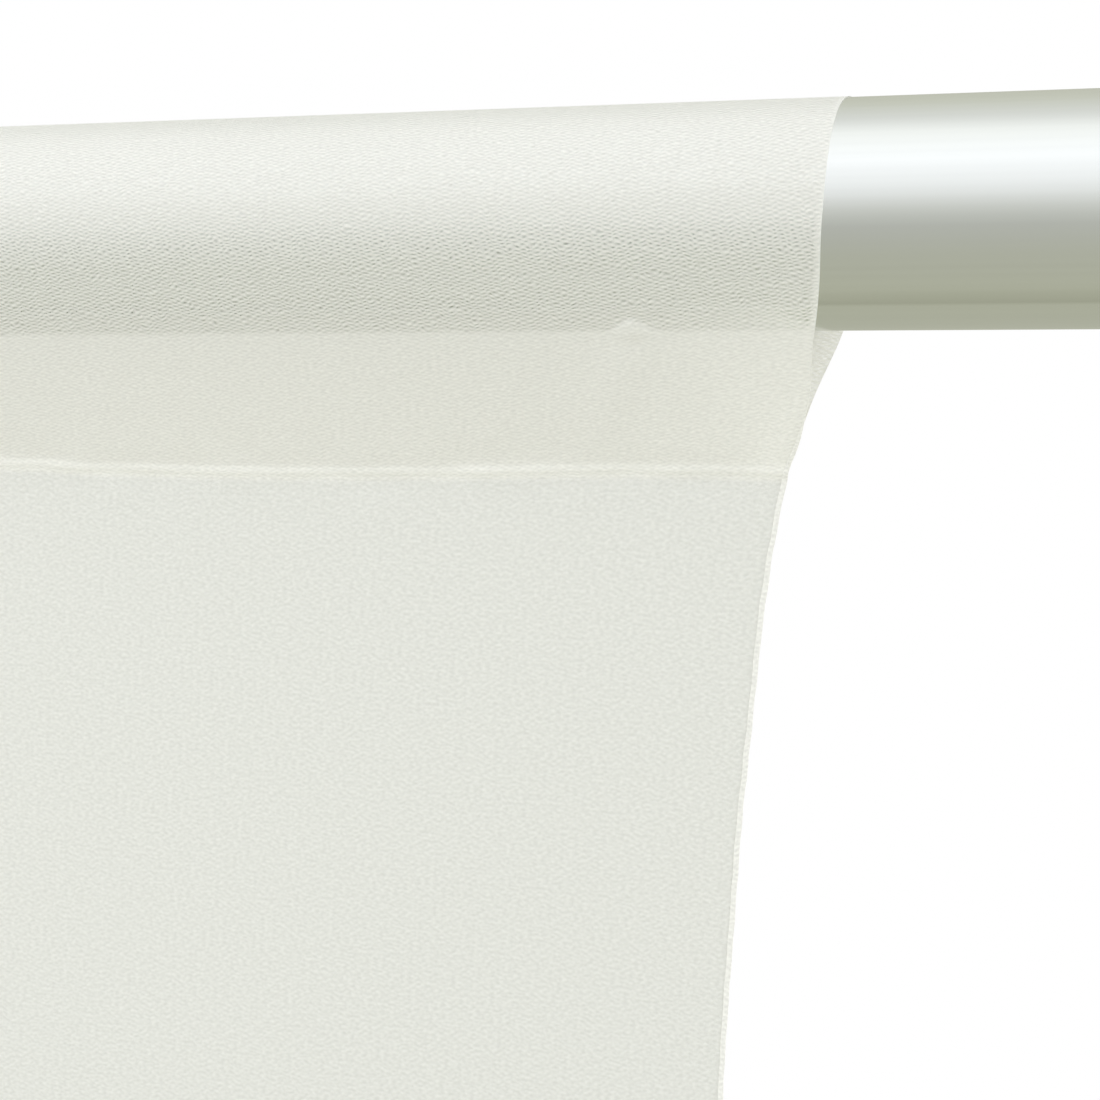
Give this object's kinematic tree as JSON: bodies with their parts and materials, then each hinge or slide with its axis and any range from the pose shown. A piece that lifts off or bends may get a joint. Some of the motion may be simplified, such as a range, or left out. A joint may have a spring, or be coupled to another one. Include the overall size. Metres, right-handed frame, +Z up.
{
  "type": "ceiling drape panel and pole",
  "caption": "Stretch-knit drape panel hung by its sewn top pocket on a plain round pole, its sides drawing in below the pocket and a plain hem at the bottom.",
  "frame": {"origin": "middle of the pole's axis", "axes": "+Z up, X along the pole, the front of the panel faces -Y"},
  "size_m": [1.83, 0.0408, 3.0564],
  "materials": {
    "knit": "fine ivory stretch knit, matte with a slight sheen, a little see-through",
    "pole_metal": "satin"
  },
  "bodies": {
    "root": {"drape_panel": "knit", "pole": "pole_metal"}
  },
  "joints": []
}
